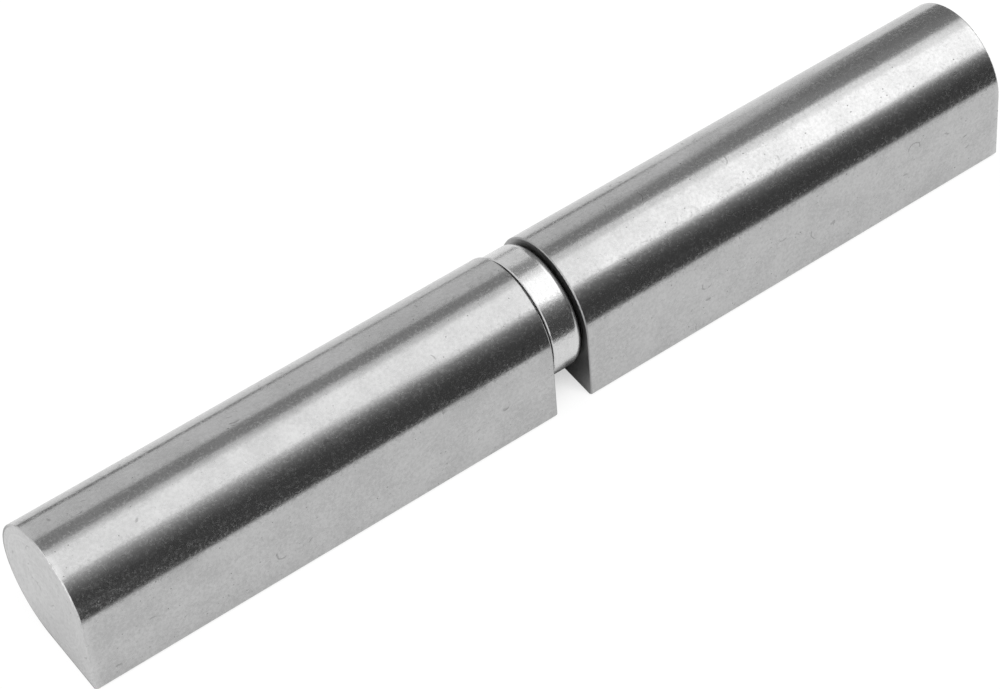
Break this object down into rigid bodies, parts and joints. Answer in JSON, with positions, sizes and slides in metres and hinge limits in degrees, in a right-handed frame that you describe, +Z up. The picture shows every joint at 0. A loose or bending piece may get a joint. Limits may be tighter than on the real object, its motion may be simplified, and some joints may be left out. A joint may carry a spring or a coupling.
{
  "type": "weld-on hinge",
  "caption": "Lift-off weld-on hinge: drop-shaped steel barrels that turn on a hidden pin, with a bright capped thrust bearing between them.",
  "frame": {"origin": "middle of the bounding box in plan, at the height of the flank that the hinge lies on", "axes": "+X along the hinge axis from the lower barrel to the upper one, +Z up from the flank that it lies on, -Y towards the apex of the section"},
  "size_m": [0.16, 0.0214, 0.02],
  "materials": {
    "barrel_steel": "bare drawn steel, lightly mottled satin",
    "pin_steel": "hardened and ground",
    "race_steel": "hardened and ground",
    "cage_steel": "pressed strip",
    "cap_steel": "bright drawn steel",
    "ball_steel": "polished bearing steel"
  },
  "bodies": {
    "lower_leaf": {"lower_barrel": "barrel_steel", "hinge_pin": "pin_steel", "lower_race": "race_steel"},
    "bearing_top": {"bearing_cap": "cap_steel", "upper_race": "race_steel"},
    "ball_set": {"ball_cage": "cage_steel", "thrust_ball_01": "ball_steel", "thrust_ball_02": "ball_steel", "thrust_ball_03": "ball_steel", "thrust_ball_04": "ball_steel", "thrust_ball_05": "ball_steel", "thrust_ball_06": "ball_steel", "thrust_ball_07": "ball_steel", "thrust_ball_08": "ball_steel", "thrust_ball_09": "ball_steel", "thrust_ball_10": "ball_steel", "thrust_ball_11": "ball_steel", "thrust_ball_12": "ball_steel", "thrust_ball_13": "ball_steel", "thrust_ball_14": "ball_steel"},
    "upper_leaf": {"upper_barrel": "barrel_steel"}
  },
  "joints": [
    {"name": "swing", "type": "hinge", "parent": "lower_leaf", "child": "bearing_top", "pos_m": [0, 0.00068, 0.01], "axis": [1, 0, 0], "continuous": true},
    {"name": "ball_orbit", "type": "hinge", "parent": "lower_leaf", "child": "ball_set", "pos_m": [0, 0.00068, 0.01], "axis": [1, 0, 0], "continuous": true},
    {"name": "lift_off", "type": "slide", "parent": "bearing_top", "child": "upper_leaf", "axis": [1, 0, 0], "range_m": [-0.00015, 0.045]}
  ],
  "couplings": [
    {"joint": "ball_orbit", "follows": "swing", "ratio": 0.5}
  ]
}
